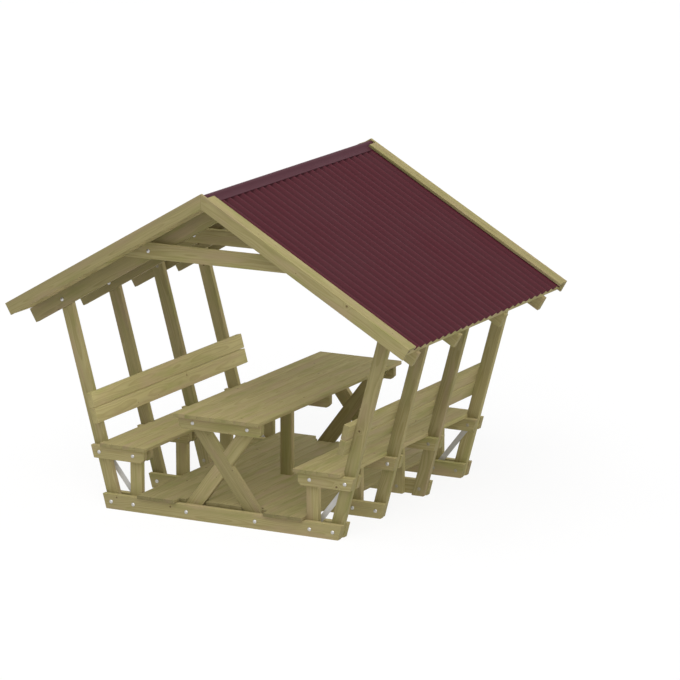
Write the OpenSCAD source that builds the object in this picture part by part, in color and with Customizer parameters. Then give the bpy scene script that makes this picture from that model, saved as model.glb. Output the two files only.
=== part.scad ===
// Open timber picnic shelter: four leaning portal frames carry a corrugated gable roof.
// A boarded deck, two benches with backrests and a fixed table stand between the posts.
// X runs across the gable, Y along the ridge, Z up. The origin is on the ground at the centre.

/* [Timber] */
// Thickness of the frame timber
timber_t = 45; // [36:1:54]
// Width of posts, bench bearers, bench legs and table bearers
post_w = 95; // [80:1:114]
// Depth of sills, rafters, collar ties and crossed table legs
beam_w = 110; // [92:1:132]
// Thickness of deck, seat and table boards
board_t = 28; // [22:1:34]
// Width of a table board; deck and seat boards are ripped near it to fill their rows evenly
board_w = 98; // [80:1:114]
// Gap between neighbouring deck, seat or table boards
board_gap = 1.5; // [1:0.5:10]
// Bevel on the lower corners of bench and table bearers
bearer_bevel = 25; // [10:1:50]

/* [Frames] */
// Distance between neighbouring post planes
frame_spacing = 657; // [548:1:789]
// Half the length of a sill along its underside
sill_half = 950; // [792:1:1140]
// Outward lean of the posts from the vertical, in degrees
post_lean = 15; // [12:0.5:18]
// How far a post stands in from the ends of the sills and bearers
post_inset = 8; // [2:1:15]
// Height of the roof peak above the underside of the collar ties
collar_drop = 547; // [456:1:656]

/* [Roof] */
// Height of the peak of the bargeboards
ridge_h = 2440; // [2240:5:2930]
// Pitch of the roof in degrees
roof_pitch = 30; // [26:0.5:34]
// Length of a roof slope along its bargeboard
slope_len = 1880; // [1780:5:2260]
// Distance from the outer sill faces to the gable ends
gable_overhang = 247; // [205:1:300]
// Thickness of bargeboards and cover boards
trim_t = 22; // [18:1:27]
// Width of bargeboards and cover boards
trim_w = 95; // [79:1:114]
// Distance from the peak to the upper end of a cover board
cover_start = 50; // [45:1:80]
// Height of the cover boards above the wave crests
cover_gap = 7; // [5:1:12]
// Distance between neighbouring waves of the roof sheet
wave_pitch = 94.6; // [79:0.1:114]
// Height of the waves from trough to crest
wave_h = 20; // [16:1:24]
// Thickness of the roof sheet and the ridge cap
sheet_t = 3; // [2:0.5:4]
// How far the sheet's lower edge stops short of the slope's end
sheet_short = 14; // [5:1:20]
// Distance between the upper edges of the two roof sheets, along the slope
sheet_apart = 8; // [2:1:20]
// Side of a square purlin
purlin_s = 45; // [38:1:54]
// Number of purlins on a slope
purlin_count = 7; // [5:1:9]
// Distance from the slope's end to the lowest purlin
purlin_low = 28; // [22:1:45]
// Distance from the peak to the highest purlin
purlin_high = 151; // [126:1:181]
// How far the rafters stop short of the slope's end
rafter_short = 3; // [0:1:10]
// Length of a ridge cap flange from the peak
cap_len = 88; // [70:1:110]
// Outer radius of the ridge cap's round crown
cap_r = 27; // [23:1:30]
// Height of the bargeboard peak above the crown
crown_drop = 15; // [12:1:18]

/* [Deck and benches] */
// Height of the seat above the ground
seat_h = 491; // [410:1:589]
// How far the bench bearers reach inwards from the posts
bench_reach = 339; // [300:1:380]
// Distance from a bench bearer's inner end to its leg
leg_set = 46; // [20:1:90]
// Overhang of the seat past the bench bearers' inner ends
seat_lip = 25; // [5:1:45]
// Reach of the seat past the posts' inner faces, at the height of the seat
seat_reach = 7; // [0:1:30]
// Overhang of the seat past the outer sill faces
seat_over = 30; // [10:1:60]
// Overhang of the deck past the outer sill faces
deck_over = 32; // [5:1:60]
// Height of the backrest's lower edge at the posts
back_z = 634; // [620:1:720]
// Width of a backrest board, which is as thick as the frame timber
back_board_w = 110; // [90:1:126]
// Gap between the two backrest boards
back_gap = 7; // [2:1:25]
// Overhang of the backrest past the outer sill faces
back_over = 57; // [5:1:80]

/* [Table] */
// Height of the table above the ground
table_h = 794; // [660:1:900]
// Number of boards in the table
table_boards = 7; // [6:1:8]
// Overhang of the table past the outer sill faces
table_over = 71; // [10:1:100]
// How far the table bearers stop short of the table's sides
bearer_set = 9.5; // [5:0.5:20]
// Distance of the crossed legs' upper bolts from the table's sides
cross_set = 125; // [100:1:150]
// Distance of the crossed legs' lower bolts from the centre line
cross_foot = 281; // [240:1:320]

/* [Straps and clearances] */
// Width of a bracing strap
strap_w = 40; // [30:1:48]
// Thickness of a bracing strap
strap_t = 3; // [2:0.5:5]
// Length of a strap past its end bolts
strap_end = 25; // [15:1:30]
// Gap between the post tops and the purlins
post_gap = 5; // [2:1:15]
// Clearance between the backrest boards and the posts
back_clear = 0.1; // [0.1:0.1:1]
// Clearance of the seat boards around the posts
notch_clear = 1; // [0.5:0.5:4]
// Clearance of the deck boards around the crossed legs
leg_clear = 3; // [2:1:10]
// Narrowest strip of a deck board that is left beside a crossed leg
strip_min = 20; // [10:1:30]
// Clearance of the deck from the bench legs
deck_clear = 2; // [1:1:40]
// Clearance on each side of the halving where two legs cross
halving_clear = 0.5; // [0.2:0.1:1]
// Clearance of the sheets and the ridge cap from the bargeboards
end_clear = 1; // [0.5:0.5:3]

/* [Hidden] */

wood = [0.61, 0.57, 0.39];
shaded_wood = [0.47, 0.43, 0.28];
maroon = [0.36, 0.18, 0.21];
steel = [0.66, 0.65, 0.70];

lean = tan(post_lean);
rise = tan(roof_pitch);
board_pitch = board_w + board_gap;

// Half lengths along the ridge: outer sill faces, gable ends, purlin ends, sheet ends
half_len = 1.5 * frame_spacing + 1.5 * timber_t;
roof_half = half_len + gable_overhang;
purlin_half = roof_half - trim_t;
sheet_half = purlin_half - end_clear;

// Depths below the roof line, square to the slope
crest_drop = trim_t + cover_gap;
sheet_drop = crest_drop + wave_h + sheet_t;
rafter_drop = sheet_drop + purlin_s;

// Heights
deck_top = beam_w + board_t;
bearer_top = seat_h - board_t;
bearer_z = bearer_top - post_w;
bearer_mid = bearer_top - post_w / 2;
table_under = table_h - board_t;
table_bearer_z = table_under - post_w;
sill_mid = beam_w / 2;
collar_z = ridge_h - collar_drop;

// Frame i, counted from the front: its post plane, and the direction of its outer side
function frame_y(i) = (i - 1.5) * frame_spacing;
function outward(i) = i < 2 ? -1 : 1;

// Centre of layer k of frame i. Layer 0 holds the posts, 1 and 2 lie outside it, -1 inside it.
// On the end frames the inner layer leaves room for the straps.
function strap_room(i, k) = (k < 0 && (i == 0 || i == 3)) ? strap_t : 0;
function layer_y(i, k) = frame_y(i) + outward(i) * (k * timber_t - strap_room(i, k));

// Distances from the centre line at height z: sill and bearer ends, post faces
function end_line(z) = sill_half + z * lean;
function post_out(z) = end_line(z) - post_inset;
function post_in(z) = post_out(z) - post_w / cos(post_lean);

// Points of the gable outline: along the slope from the peak, and a drop square to it
function slope_pt(along, drop) =
    [along * cos(roof_pitch) - drop * sin(roof_pitch),
    ridge_h - along * sin(roof_pitch) - drop * cos(roof_pitch)];
function peak_pt(drop) = [0, ridge_h - drop / cos(roof_pitch)];
function roof_x(z, drop) = (peak_pt(drop)[1] - z) / rise;
function mirrored(p) = [-p[0], p[1]];

// Height at which a line leaning with the posts from x0 at the ground meets a roof layer
function meet_z(x0, drop) = (peak_pt(drop)[1] - x0 * rise) / (1 + lean * rise);

// Positions across the benches
bench_in = post_in(bearer_top) - bench_reach;
leg_in = bench_in + leg_set;
seat_in = bench_in - seat_lip;
seat_out = post_in(seat_h) + seat_reach;

// Boards of a seat, and their width
seat_boards = round((seat_out - seat_in + board_gap) / board_pitch);
seat_pitch = (seat_out - seat_in + board_gap) / seat_boards;
seat_board_w = seat_pitch - board_gap;

// Half width of the table
table_half = (table_boards * board_pitch - board_gap) / 2;

// Deck boards on each side of the middle board, and their width
deck_half = leg_in - deck_clear;
deck_side = round((deck_half - board_w / 2) / board_pitch);
deck_pitch = (2 * deck_half + board_gap) / (2 * deck_side + 1);
deck_board_w = deck_pitch - board_gap;

// Middle line of a crossed leg at height z, and its half width measured across
cross_top = table_half - cross_set;
cross_mid = table_bearer_z + post_w / 2;
cross_slope = (cross_foot + cross_top) / (cross_mid - sill_mid);
cross_angle = atan(cross_slope);
function cross_x(z) = cross_foot - cross_slope * (z - sill_mid);
function cross_half(extra) = (beam_w / 2 + extra) / cos(cross_angle);

// The crossed legs come up through the deck between these distances from the centre line
leg_near = cross_x(deck_top) - cross_half(leg_clear);
leg_far = cross_x(beam_w) + cross_half(leg_clear);

// Edges of deck board k, counted from the middle: end 1 is its outer edge and end -1 its inner one
function deck_edge(k, end) = k * deck_pitch + end * deck_board_w / 2;

// The cut round a leg. A strip narrower than strip_min beside the leg is cut away with it.
near_board = floor((leg_near + deck_board_w / 2) / deck_pitch);
far_board = ceil((leg_far - deck_board_w / 2) / deck_pitch);
near_strip = leg_near - deck_edge(near_board, -1);
far_strip = deck_edge(far_board, 1) - leg_far;
cut_near = leg_near - (near_strip < strip_min ? near_strip + board_gap / 2 : 0);
cut_far = leg_far + (far_strip < strip_min ? far_strip + board_gap / 2 : 0);

// A board of thickness t centred on y, from an outline drawn in X and Z
module plank(y, t) {
    translate([0, y + t / 2, 0])
        rotate([90, 0, 0])
            linear_extrude(t)
                children();
}

// Its children on the right, or their mirror image on the left
module on_side(side) {
    mirror([side < 0 ? 1 : 0, 0, 0])
        children();
}

module post(i, side) {
    out_z = meet_z(post_out(0), rafter_drop + post_gap);
    in_z = meet_z(post_in(0), rafter_drop + post_gap);
    color(wood)
        on_side(side)
            plank(layer_y(i, 0), timber_t)
                polygon([
                    [post_in(0), 0],
                    [post_out(0), 0],
                    [post_out(out_z), out_z],
                    [post_in(in_z), in_z],
                ]);
}

module rafters(side) {
    tail = slope_len - rafter_short;
    color(shaded_wood)
        on_side(side)
            for (i = [0 : 3])
                plank(layer_y(i, 1), timber_t)
                    polygon([
                        peak_pt(rafter_drop + beam_w),
                        slope_pt(tail, rafter_drop + beam_w),
                        slope_pt(tail, rafter_drop),
                        peak_pt(rafter_drop),
                    ]);
}

module collar_ties() {
    low = roof_x(collar_z, rafter_drop);
    high = roof_x(collar_z + beam_w, rafter_drop);
    color(wood)
        for (i = [0 : 3])
            plank(layer_y(i, 2), timber_t)
                polygon([
                    [-low, collar_z],
                    [low, collar_z],
                    [high, collar_z + beam_w],
                    [-high, collar_z + beam_w],
                ]);
}

module sill(i, k) {
    color(wood)
        plank(layer_y(i, k), timber_t)
            polygon([
                [-end_line(0), 0],
                [end_line(0), 0],
                [end_line(beam_w), beam_w],
                [-end_line(beam_w), beam_w],
            ]);
}

module bench_legs(side) {
    color(wood)
        on_side(side)
            for (i = [0 : 3])
                translate([leg_in, layer_y(i, 0) - timber_t / 2, 0])
                    cube([post_w, timber_t, bearer_top]);
}

module bench_bearers(side) {
    color(wood)
        on_side(side)
            for (i = [0 : 3], k = [-1, 1])
                plank(layer_y(i, k), timber_t)
                    polygon([
                        [bench_in + bearer_bevel, bearer_z],
                        [end_line(bearer_z), bearer_z],
                        [end_line(bearer_top), bearer_top],
                        [bench_in, bearer_top],
                        [bench_in, bearer_z + bearer_bevel],
                    ]);
}

// The boards of a seat, notched round the posts
module seat(side) {
    notch_x = post_in(bearer_top) - notch_clear;
    notch_y = timber_t + 2 * notch_clear;
    half = half_len + seat_over;
    color(wood)
        on_side(side)
            difference() {
                for (k = [0 : seat_boards - 1])
                    translate([seat_in + k * seat_pitch, -half, bearer_top])
                        cube([seat_board_w, 2 * half, board_t]);
                for (i = [0 : 3])
                    translate([notch_x, frame_y(i) - notch_y / 2, bearer_z])
                        cube([2 * post_w, notch_y, 2 * post_w]);
            }
}

// Two boards on the inner faces of the posts, leaning with them
module backrest(side) {
    half = half_len + back_over;
    color(wood)
        on_side(side)
            translate([post_in(back_z), 0, back_z])
                rotate([0, post_lean, 0])
                    for (k = [0, 1])
                        translate([-timber_t - back_clear, -half, k * (back_board_w + back_gap)])
                            cube([timber_t, 2 * half, back_board_w]);
}

// Boards across the sills. Those at and between the crossed legs end at the outer sills' inner
// faces and are cut out round the legs, and the rest run out past the sills.
module deck() {
    full_half = half_len + deck_over;
    short_half = half_len - timber_t;
    cut_half = half_len - 2 * timber_t - leg_clear;
    color(wood)
        difference() {
            for (k = [-deck_side : deck_side]) {
                half = deck_edge(abs(k), -1) < leg_far ? short_half : full_half;
                translate([deck_edge(k, -1), -half, beam_w])
                    cube([deck_board_w, 2 * half, board_t]);
            }
            for (side = [-1, 1], end = [-1, 1])
                on_side(side)
                    translate([cut_near, end > 0 ? cut_half : -2 * full_half, 0])
                        cube([cut_far - cut_near, 2 * full_half - cut_half, 2 * deck_top]);
        }
}

module table_top() {
    half = half_len + table_over;
    color(wood)
        for (k = [0 : table_boards - 1])
            translate([k * board_pitch - table_half, -half, table_under])
                cube([board_w, 2 * half, board_t]);
}

module table_bearers() {
    half = table_half - bearer_set;
    color(wood)
        for (y = [layer_y(0, 1), 0, layer_y(3, 1)])
            plank(y, timber_t)
                polygon([
                    [-half + bearer_bevel, table_bearer_z],
                    [half - bearer_bevel, table_bearer_z],
                    [half, table_bearer_z + bearer_bevel],
                    [half, table_under],
                    [-half, table_under],
                    [-half, table_bearer_z + bearer_bevel],
                ]);
}

// Upright leg in front of the middle table bearer
module middle_table_leg() {
    color(wood)
        translate([-post_w / 2, -1.5 * timber_t, deck_top])
            cube([post_w, timber_t, table_under - deck_top]);
}

// Outline of the leg that stands on the right and leans left
module cross_outline(extra) {
    polygon([
        [cross_x(0) - cross_half(extra), 0],
        [cross_x(0) + cross_half(extra), 0],
        [cross_x(table_under) + cross_half(extra), table_under],
        [cross_x(table_under) - cross_half(extra), table_under],
    ]);
}

// A crossed leg of frame i, halved where the other one of the pair passes
module cross_leg(i, side) {
    y = layer_y(i, 0);
    color(wood)
        on_side(side)
            difference() {
                plank(y, timber_t)
                    cross_outline(0);
                plank(y - side * outward(i) * timber_t / 2, timber_t)
                    mirror([1, 0])
                        cross_outline(halving_clear);
            }
}

module purlins(side) {
    low = slope_len - purlin_low;
    step = (low - purlin_s - purlin_high) / (purlin_count - 1);
    color(shaded_wood)
        on_side(side)
            for (k = [0 : purlin_count - 1])
                plank(0, 2 * purlin_half)
                    polygon([
                        slope_pt(low - k * step, rafter_drop),
                        slope_pt(low - k * step, sheet_drop),
                        slope_pt(low - k * step - purlin_s, sheet_drop),
                        slope_pt(low - k * step - purlin_s, rafter_drop),
                    ]);
}

// Corrugated sheet of one slope, with the waves running down it
module roof_sheet(side) {
    waves = round(2 * sheet_half / wave_pitch);
    steps = 12;
    step_y = 2 * sheet_half / (waves * steps);
    start = sheet_drop * rise + sheet_apart / 2;
    mid = crest_drop + wave_h / 2;
    function wave(k) = wave_h / 2 * cos(360 * k / steps) - mid;
    upper = [for (k = [0 : waves * steps]) [k * step_y - sheet_half, wave(k)]];
    lower = [for (k = [waves * steps : -1 : 0]) [k * step_y - sheet_half, wave(k) - sheet_t]];
    color(maroon)
        on_side(side)
            translate([0, 0, ridge_h])
                rotate([0, roof_pitch, 0])
                    rotate([90, 0, 90])
                        translate([0, 0, start])
                            linear_extrude(slope_len - sheet_short - start)
                                polygon(concat(upper, lower));
}

// Two flanges on the wave crests, joined by a round crown over the ridge
module ridge_cap() {
    crown_z = ridge_h - crown_drop - cap_r;
    foot = slope_pt(cap_len, crest_drop);
    lip = slope_pt(cap_len, crest_drop - sheet_t);
    below = foot[1] - 2 * cap_r;
    color(maroon)
        plank(0, 2 * sheet_half)
            difference() {
                union() {
                    polygon([
                        mirrored(foot),
                        peak_pt(crest_drop),
                        foot,
                        lip,
                        peak_pt(crest_drop - sheet_t),
                        mirrored(lip),
                    ]);
                    translate([0, crown_z])
                        circle(cap_r, $fn = 48);
                }
                translate([0, crown_z])
                    circle(cap_r - sheet_t, $fn = 48);
                polygon([
                    mirrored(foot),
                    peak_pt(crest_drop),
                    foot,
                    [foot[0], below],
                    [-foot[0], below],
                ]);
            }
}

module bargeboard(end, side) {
    color(wood)
        on_side(side)
            plank(end * (roof_half - trim_t / 2), trim_t)
                polygon([
                    peak_pt(trim_w),
                    slope_pt(slope_len, trim_w),
                    slope_pt(slope_len, 0),
                    peak_pt(0),
                ]);
}

// Boards lying on the roof's edge behind the bargeboards
module cover_boards(end) {
    color(wood)
        for (side = [-1, 1])
            on_side(side)
                plank(end * (purlin_half - trim_w / 2), trim_w)
                    polygon([
                        slope_pt(cover_start, trim_t),
                        slope_pt(slope_len, trim_t),
                        slope_pt(slope_len, 0),
                        slope_pt(cover_start, 0),
                    ]);
}

// Diagonal straps from the foot of each end bench leg to the bench bearer at the post
module straps() {
    foot = [leg_in + post_w / 2, sill_mid];
    head = [(post_in(bearer_mid) + post_out(bearer_mid)) / 2, bearer_mid];
    span = norm(head - foot);
    angle = atan2(head[1] - foot[1], head[0] - foot[0]);
    color(steel)
        for (i = [0, 3], side = [-1, 1])
            on_side(side)
                plank(frame_y(i) - outward(i) * (timber_t + strap_t) / 2, strap_t)
                    translate(foot)
                        rotate(angle)
                            translate([-strap_end, -strap_w / 2])
                                square([span + 2 * strap_end, strap_w]);
}

post(0, -1);  // front_left_post
post(0, 1);  // front_right_post
post(1, -1);  // second_left_post
post(1, 1);  // second_right_post
post(2, -1);  // third_left_post
post(2, 1);  // third_right_post
post(3, -1);  // rear_left_post
post(3, 1);  // rear_right_post
rafters(-1);  // left_rafters
rafters(1);  // right_rafters
collar_ties();
sill(0, 1);  // front_outer_sill
sill(0, -1);  // front_inner_sill
sill(1, 1);  // second_sill
sill(2, 1);  // third_sill
sill(3, -1);  // rear_inner_sill
sill(3, 1);  // rear_outer_sill
bench_legs(-1);  // left_bench_legs
bench_legs(1);  // right_bench_legs
bench_bearers(-1);  // left_bench_bearers
bench_bearers(1);  // right_bench_bearers
seat(-1);  // left_seat
seat(1);  // right_seat
backrest(-1);  // left_backrest
backrest(1);  // right_backrest
deck();
table_top();
table_bearers();
middle_table_leg();
cross_leg(0, 1);  // front_cross_leg_a
cross_leg(0, -1);  // front_cross_leg_b
cross_leg(3, 1);  // rear_cross_leg_a
cross_leg(3, -1);  // rear_cross_leg_b
purlins(-1);  // left_purlins
purlins(1);  // right_purlins
roof_sheet(-1);  // left_roof_sheet
roof_sheet(1);  // right_roof_sheet
ridge_cap();
bargeboard(-1, -1);  // front_left_bargeboard
bargeboard(-1, 1);  // front_right_bargeboard
bargeboard(1, -1);  // rear_left_bargeboard
bargeboard(1, 1);  // rear_right_bargeboard
cover_boards(-1);  // front_cover_boards
cover_boards(1);  // rear_cover_boards
straps();
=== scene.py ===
"""Open timber picnic shelter with a corrugated gable roof: the looks, built round the construction frame."""

import math
import random

import bmesh
import bpy
from mathutils import Matrix, Vector


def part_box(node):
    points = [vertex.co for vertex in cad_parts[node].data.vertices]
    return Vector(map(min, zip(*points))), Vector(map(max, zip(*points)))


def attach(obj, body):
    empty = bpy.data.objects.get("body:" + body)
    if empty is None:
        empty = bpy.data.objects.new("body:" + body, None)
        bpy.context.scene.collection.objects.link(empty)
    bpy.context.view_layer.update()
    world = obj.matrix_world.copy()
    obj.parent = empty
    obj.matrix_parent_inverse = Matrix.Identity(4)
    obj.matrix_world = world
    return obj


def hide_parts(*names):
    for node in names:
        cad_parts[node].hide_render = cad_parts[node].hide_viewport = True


bl_info = {
    "name": "Picnic Shelter",
    "version": (1, 0, 0),
    "blender": (4, 5, 0),
    "location": "3D View > Sidebar > Shelter",
    "description": "Sawn timber, corrugated roof, bolts and studio for an open picnic shelter",
    "category": "Object",
}

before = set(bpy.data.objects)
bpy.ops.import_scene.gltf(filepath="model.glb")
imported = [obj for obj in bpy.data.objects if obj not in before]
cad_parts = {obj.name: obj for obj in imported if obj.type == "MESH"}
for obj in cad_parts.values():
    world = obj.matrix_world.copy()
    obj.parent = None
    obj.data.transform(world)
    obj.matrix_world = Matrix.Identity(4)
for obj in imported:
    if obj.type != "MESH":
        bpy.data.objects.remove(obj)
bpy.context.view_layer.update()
BODY = "root"

# The camera sees a white floor: a small share of it takes the shadow and the rest is even
FLOOR_SHADE = 0.22
FLOOR_LIFT = 0.745
FLOOR_REACH = 90.0
FLOOR_DROP = 0.0005

# Each lamp: its strength's setting, azimuth and elevation in degrees, and whether it casts shadows
LAMPS = (
    ("key", 20, 40, True),
    ("side", -62, 58, True),
    ("fill", 90, 63, False),
)

# CAD nodes in timber. A slope is -1 or 1, the sign of its X
SLOPES = {-1: "left", 1: "right"}
SIDES = SLOPES.values()
ENDS = ("front", "rear")
FRAMES = ("front", "second", "third", "rear")
FRAME_TIMBERS = [
    *(f"{place}_{side}_post" for place in FRAMES for side in SIDES),
    "front_outer_sill",
    "front_inner_sill",
    "second_sill",
    "third_sill",
    "rear_inner_sill",
    "rear_outer_sill",
    *(f"{side}_rafters" for side in SIDES),
    "collar_ties",
]
BENCH_TIMBERS = [f"{side}_bench_{part}" for part in ("legs", "bearers") for side in SIDES]
BENCH_BOARDS = [f"{side}_{part}" for part in ("seat", "backrest") for side in SIDES]
TABLE_TIMBERS = [
    "table_bearers",
    "middle_table_leg",
    *(f"{end}_cross_leg_{leg}" for end in ENDS for leg in "ab"),
]
ROOF_TIMBERS = [f"{side}_purlins" for side in SIDES]
ROOF_TRIM = [
    *(f"{end}_{side}_bargeboard" for end in ENDS for side in SIDES),
    *(f"{end}_cover_boards" for end in ENDS),
]

# Some pieces are lighter or darker than the rest: partly packs of timber with their own tone, partly painted
# light and shade on pieces that the lamps light or the roof shades. Each row: the start of a node's name and
# its shade
PACK_AND_LIGHT_SHADES = (
    ("deck", 0.73),
    ("front_right_post", 0.84),
    ("second_right_post", 0.88),
    ("third_right_post", 0.86),
    ("front_cross_leg_a", 0.78),
    ("front_cross_leg_b", 0.90),
    ("front_left_bargeboard", 0.84),
    ("front_cover_boards", 0.92),
    ("rear_cover_boards", 0.84),
    ("left_backrest", 1.24),
    ("left_rafters", 0.76),
    ("second_left_post", 0.86),
    ("third_left_post", 0.86),
)

# Colours of the wood, as its node group names them; the settings have the same names in lower case
WOOD_COLOURS = ("Pale", "Late", "Warm", "Green", "Knot")

# How far a board's grain may be moved along the log, and its pith across and behind the board
GRAIN_SHIFT = 40
PITH_ACROSS = 0.035
PITH_BEHIND = (0.022, 0.07)

# Steps that a roof wave is drawn in
WAVE_STEPS = 20


# ---------- settings


def length_setting(name, description, default, low, high):
    """A property that is a length in metres."""
    return bpy.props.FloatProperty(
        name=name, description=description, default=default, min=low, max=high, unit="LENGTH",
    )


def share_setting(name, description, default):
    """A property that is a small share of a brightness."""
    return bpy.props.FloatProperty(
        name=name, description=description, default=default, min=0, max=0.4, subtype="FACTOR",
    )


def angle_setting(name, description, degrees):
    """A property that is an angle, given here in degrees."""
    return bpy.props.FloatProperty(
        name=name, description=description, default=math.radians(degrees), subtype="ANGLE",
    )


def light_setting(name, description, default):
    """A property that is a light's strength."""
    return bpy.props.FloatProperty(name=name, description=description, default=default, min=0)


def colour_setting(name, description, default):
    """A property that is a colour."""
    return bpy.props.FloatVectorProperty(
        name=name, description=description, default=default, size=3, subtype="COLOR", min=0, max=1,
    )


class ShelterTimber(bpy.types.PropertyGroup):
    """Sawn and pressure-treated pine"""

    timber_edge: length_setting("Timber Edge", "Rounding of the timbers' edges", 0.003, 0.0005, 0.008)
    board_edge: length_setting("Board Edge", "Rounding of the boards' edges", 0.0025, 0.0005, 0.006)
    pale: colour_setting("Early Wood", "Colour between the growth rings", (0.355, 0.305, 0.142))
    late: colour_setting("Late Wood", "Colour of the growth rings", (0.268, 0.222, 0.090))
    warm: colour_setting("Warm Patches", "Colour where the treatment took less", (0.350, 0.272, 0.150))
    green: colour_setting("Green Patches", "Colour where the treatment took more", (0.268, 0.254, 0.090))
    knot: colour_setting("Knots", "Colour of the knots", (0.15, 0.10, 0.045))
    ring_width: length_setting("Ring Width", "Distance between growth rings", 0.009, 0.002, 0.02)
    board_change: share_setting(
        "Board Change", "How much one board is lighter or darker than the next", 0.04,
    )


class ShelterRoof(bpy.types.PropertyGroup):
    """Corrugated roof sheets and ridge cap"""

    waves: bpy.props.IntProperty(
        name="Waves", description="Number of waves along the ridge", default=27, min=10, max=60,
    )
    wave_height: length_setting("Wave Height", "Height from trough to crest", 0.02, 0.005, 0.05)
    thickness: length_setting("Thickness", "Thickness of the sheet and the cap", 0.003, 0.001, 0.006)
    cap_radius: length_setting("Cap Radius", "Outer radius of the cap's crown", 0.027, 0.01, 0.06)
    cap_shoulder: angle_setting(
        "Cap Shoulder", "Slope of the crown's side over the flange, where the shoulder starts", 32,
    )
    # Troughs darker than crests: painted shade between the waves, partly dust
    dust_and_trough_shade: share_setting("Dust And Trough Shade", "How much darker the troughs are than the crests", 0.20)
    # Painted shade: a near-black strip under the ridge cap's flange stands for the shadow in the wave holes
    # there
    filler_width: length_setting(
        "Shade Strip Width", "Width of the foam strip under the ridge cap", 0.025, 0.01, 0.06,
    )
    filler_setback: length_setting(
        "Shade Strip Setback", "Distance from the ridge cap's edge to the foam strip", 0.003, 0.0, 0.03,
    )
    filler_colour: colour_setting("Filler", "Colour of the foam strip", (0.012, 0.006, 0.007))
    sheet_colour: colour_setting("Sheet", "Colour of the roof sheets", (0.0535, 0.0085, 0.0135))
    cap_colour: colour_setting("Cap", "Colour of the ridge cap", (0.056, 0.0145, 0.022))


class ShelterHardware(bpy.types.PropertyGroup):
    """Bolts and bracing straps"""

    head_radius: length_setting("Head Radius", "Radius of a domed bolt head", 0.0145, 0.005, 0.03)
    head_height: length_setting("Head Height", "Height of a domed bolt head", 0.0075, 0.002, 0.02)
    nut_radius: length_setting("Nut Radius", "Radius over the corners of a nut", 0.0092, 0.005, 0.02)
    nut_height: length_setting("Nut Height", "Height of a nut", 0.008, 0.003, 0.02)
    nut_zinc: colour_setting("Nut Zinc", "Colour of the weathered nuts and washers", (0.30, 0.275, 0.20))
    zinc: colour_setting("Zinc", "Colour of the zinc plating", (0.50, 0.49, 0.47))


class ShelterStage(bpy.types.PropertyGroup):
    """Camera, lamps and floor"""

    azimuth: angle_setting("Azimuth", "Camera's direction round the shelter", 27.745)
    elevation: angle_setting("Elevation", "Camera's height above the horizon", 12.646)
    distance: length_setting("Distance", "Camera's distance from its target", 29.042, 1, 200)
    target: bpy.props.FloatVectorProperty(
        name="Target", description="Point in the middle of the picture",
        default=(0.442, -0.054, 1.198), size=3, subtype="TRANSLATION",
    )
    lens: bpy.props.FloatProperty(
        name="Lens", description="Focal length on a 36 mm sensor, in millimetres",
        default=212.06, min=20,
    )
    sky: light_setting("Sky", "Strength of the light from all round", 0.17)
    key: light_setting("Key Lamp", "Strength of the lamp in front", 1.12)
    side: light_setting("Side Lamp", "Strength of the lamp on the left", 0.45)
    fill: light_setting("Fill Lamp", "Strength of the lamp that lights under the roof too", 2.4)
    spread: angle_setting("Lamp Spread", "Angle that each lamp fills, which softens its shadows", 50)
    floor: colour_setting("Floor", "Colour of the floor", (0.86, 0.86, 0.87))


# ---------- reading the frame


def points_of(node):
    """The points of a CAD node."""
    return [v.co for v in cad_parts[node].data.vertices]


def middle_of(node):
    """The middle of a CAD node's box."""
    low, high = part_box(node)
    return (low + high) / 2


def middle_at(node, height):
    """Middle of a CAD node across the gable, at one height."""
    points = points_of(node)
    cuts = []
    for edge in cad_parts[node].data.edges:
        a, b = (points[k] for k in edge.vertices)
        if (a.z - height) * (b.z - height) < 0:
            cuts.append(a.lerp(b, (height - a.z) / (b.z - a.z)).x)
    return (min(cuts) + max(cuts)) / 2


def corner(node, direction):
    """The point of a CAD node that lies furthest in a direction."""
    return max(points_of(node), key=lambda p: p.dot(Vector(direction))).copy()


def roof_slope():
    """(height of the bargeboards' peak, rise, pitch) of the roof."""
    peak = corner("front_right_bargeboard", (-0.5, 0, 1))
    eave = corner("front_right_bargeboard", (1, 0, 0.5))
    rise = (peak.z - eave.z) / (eave.x - peak.x)
    return peak.z, rise, math.atan(rise)


def slope_matrix(side):
    """Turns (along the ridge, out of the roof, down the slope) into the row frame, for one slope."""
    peak, _, pitch = roof_slope()
    down = Vector((side * math.cos(pitch), 0, -math.sin(pitch)))
    out = Vector((side * math.sin(pitch), 0, math.cos(pitch)))
    ridge = Vector((0, 1, 0))
    turn = Matrix((ridge, out, down)).transposed().to_4x4()
    return Matrix.Translation((0, 0, peak)) @ turn


def on_slope(node, side):
    """The points of a CAD node as (along the ridge, out of the roof, down the slope)."""
    to_slope = slope_matrix(side).inverted()
    return [to_slope @ p for p in points_of(node)]


# ---------- node trees


def plug(tree, socket, value):
    """Links a socket to an input, or sets the input's value."""
    if isinstance(value, bpy.types.NodeSocket):
        tree.links.new(value, socket)
    elif socket.type == "RGBA" and len(value) == 3:
        socket.default_value = (*value, 1)
    else:
        socket.default_value = value


def fill(tree, sockets, values):
    """Plugs several sockets, each by its name or number."""
    for key, value in values.items():
        plug(tree, sockets[key], value)


def add(tree, kind, inputs=None, **settings):
    """A new node with its settings made and its inputs plugged by name or number."""
    made = tree.nodes.new(kind)
    for name, value in settings.items():
        setattr(made, name, value)
    fill(tree, made.inputs, inputs or {})
    return made


def sums(tree, operation, *values):
    """Output of a Math node."""
    return add(tree, "ShaderNodeMath", dict(enumerate(values)), operation=operation).outputs[0]


def vector(tree, *values):
    """A vector from its parts."""
    return add(tree, "ShaderNodeCombineXYZ", dict(enumerate(values))).outputs[0]


def blended(tree, factor, first, second, mode="MIX"):
    """Output of a colour Mix node."""
    made = add(
        tree, "ShaderNodeMix", {"Factor": factor, 6: first, 7: second},
        data_type="RGBA", blend_type=mode,
    )
    return made.outputs[2]


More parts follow.
